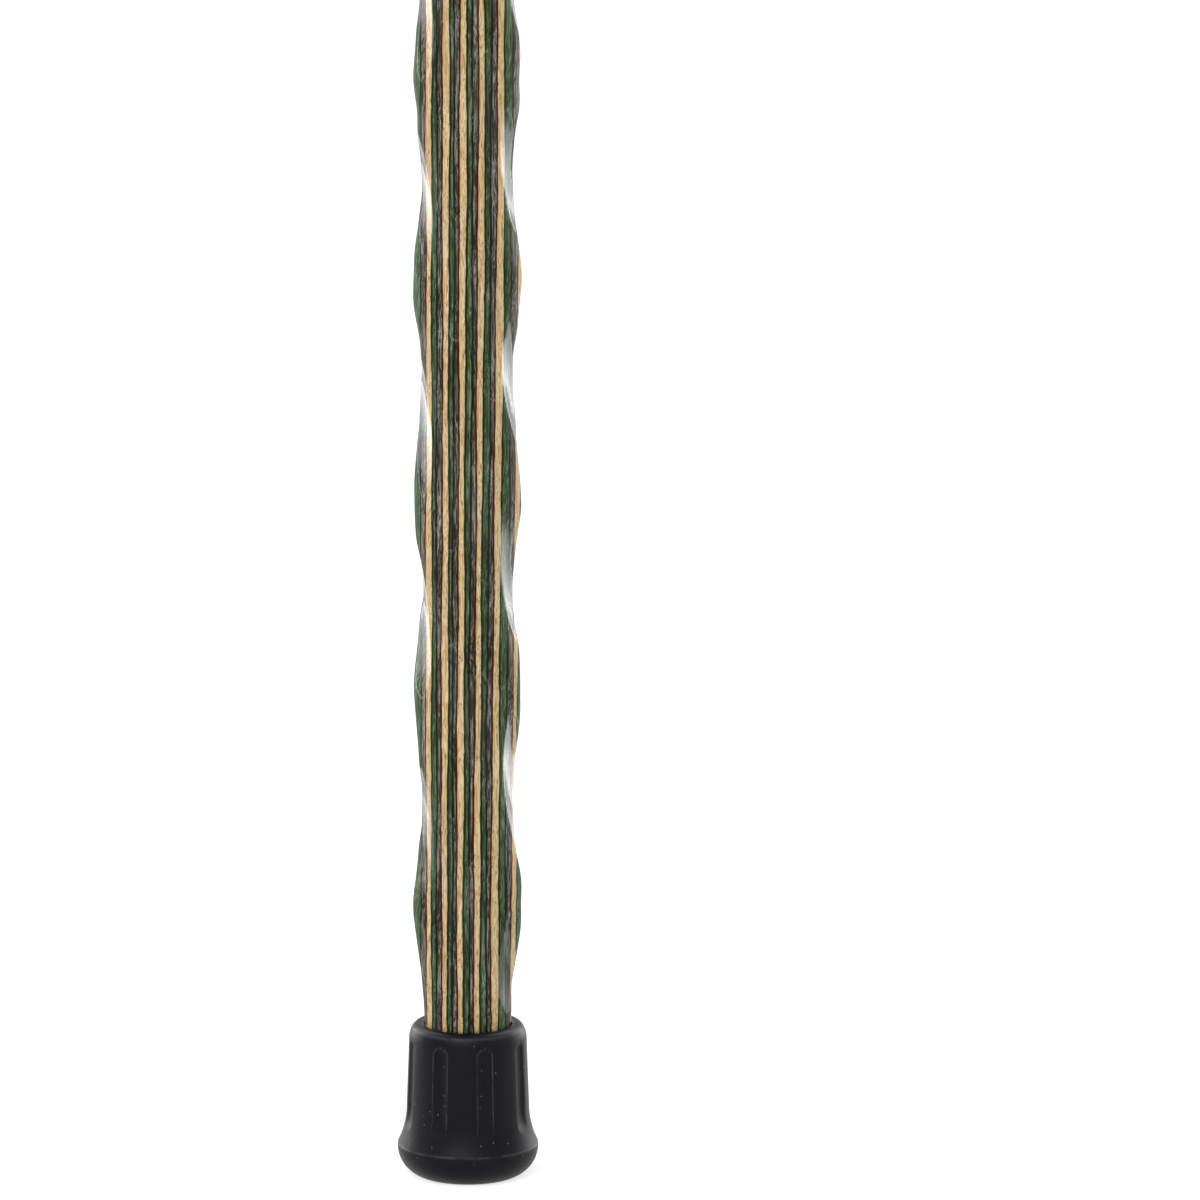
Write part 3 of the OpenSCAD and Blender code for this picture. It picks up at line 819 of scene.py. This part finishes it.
def seenAsBackground(tree):
    # 1 for a ray from the camera, from a gloss or through glass, and 0 for the light on the object
    path = addNode(tree, "ShaderNodeLightPath")
    shiny = addNode(tree, "ShaderNodeMath", {"operation": "MAXIMUM"}, {
        0: path.outputs["Is Glossy Ray"], 1: path.outputs["Is Transmission Ray"]})
    seen = addNode(tree, "ShaderNodeMath", {"operation": "MAXIMUM"}, {
        0: path.outputs["Is Camera Ray"], 1: shiny.outputs["Value"]})
    return seen.outputs["Value"]


def makeFloor():
    # A matt pale sheet. The camera sees it lifted to white, with the staff's shadow left on it.
    half = studio["floorSize"] / 2
    mesh = bpy.data.meshes.new("floor")
    corners = [(-half, -half, 0), (half, -half, 0), (half, half, 0), (-half, half, 0)]
    mesh.from_pydata(corners, [], [(0, 1, 2, 3)])
    floor = bpy.data.objects.new("floor", mesh)
    bpy.context.scene.collection.objects.link(floor)
    material, tree = newMaterial("paleMattPaper")
    paper = addNode(tree, "ShaderNodeBsdfDiffuse", inputs={"Color": linear("#c4c4c4"), "Roughness": 0.0})
    lift = addNode(tree, "ShaderNodeEmission", inputs={"Color": (1, 1, 1, 1), "Strength": 0.70})
    lifted = addNode(tree, "ShaderNodeAddShader", inputs={
        0: paper.outputs["BSDF"], 1: lift.outputs["Emission"]})
    seen = addNode(tree, "ShaderNodeMixShader", inputs={
        0: seenAsBackground(tree), 1: paper.outputs["BSDF"], 2: lifted.outputs["Shader"]})
    side = addNode(tree, "ShaderNodeNewGeometry")
    clear = addNode(tree, "ShaderNodeBsdfTransparent")
    # nothing is seen of it from below, so that the tread can be looked at
    oneSided = addNode(tree, "ShaderNodeMixShader", inputs={
        0: side.outputs["Backfacing"], 1: seen.outputs["Shader"], 2: clear.outputs["BSDF"]})
    addNode(tree, "ShaderNodeOutputMaterial", inputs={"Surface": oneSided.outputs["Shader"]})
    mesh.materials.append(material)


def makeWorld():
    # Soft fill from all round, and plain white where the camera, a gloss or glass looks at it.
    world = bpy.data.worlds.new("studio")
    bpy.context.scene.world = world
    world.use_nodes = True
    tree = world.node_tree
    tree.nodes.clear()
    level = addNode(tree, "ShaderNodeMapRange", inputs={
        "Value": seenAsBackground(tree), "To Min": studio["fill"], "To Max": 1.0})
    background = addNode(tree, "ShaderNodeBackground", inputs={
        "Color": (1, 1, 1, 1), "Strength": level.outputs["Result"]})
    addNode(tree, "ShaderNodeOutputWorld", inputs={"Surface": background.outputs["Background"]})


def makeLamp(name, place, aim, width, height, power, lights=True, shines=True):
    # A soft panel, not seen itself. It may light matt surfaces, shine in glossy ones, or both.
    lamp = bpy.data.lights.new(name, "AREA")
    lamp.shape, lamp.size, lamp.size_y, lamp.energy = "RECTANGLE", width, height, power
    holder = bpy.data.objects.new(name, lamp)
    holder.location = place
    direction = [a - p for a, p in zip(aim, place)]
    flat = math.hypot(direction[0], direction[1])
    holder.rotation_euler = (math.atan2(flat, -direction[2]), 0, math.atan2(-direction[0], direction[1]))
    holder.visible_camera, holder.visible_diffuse, holder.visible_glossy = False, lights, shines
    bpy.context.scene.collection.objects.link(holder)


makeFloor()
makeWorld()
for side, name in ((-1, "left"), (1, "right")):
    makeLamp(name + "Softbox", (1.45 * side, 0.80, 0.75), (0, 0, 0.6), 0.9, 2.4, 15, shines=False)
    # a strip close by, whose reflection edges the hollows with crisp light
    makeLamp(name + "Strip", (0.26 * side, 0.21, 0.66), (0, 0, 0.66), 0.23, 1.3, 3.9, lights=False)
makeLamp("frontSoftbox", (-0.9, -3.0, 2.6), (0, 0, 0.4), 3.0, 2.2, 86)
bpy.context.scene.view_settings.view_transform = "Standard"
print("studio made")
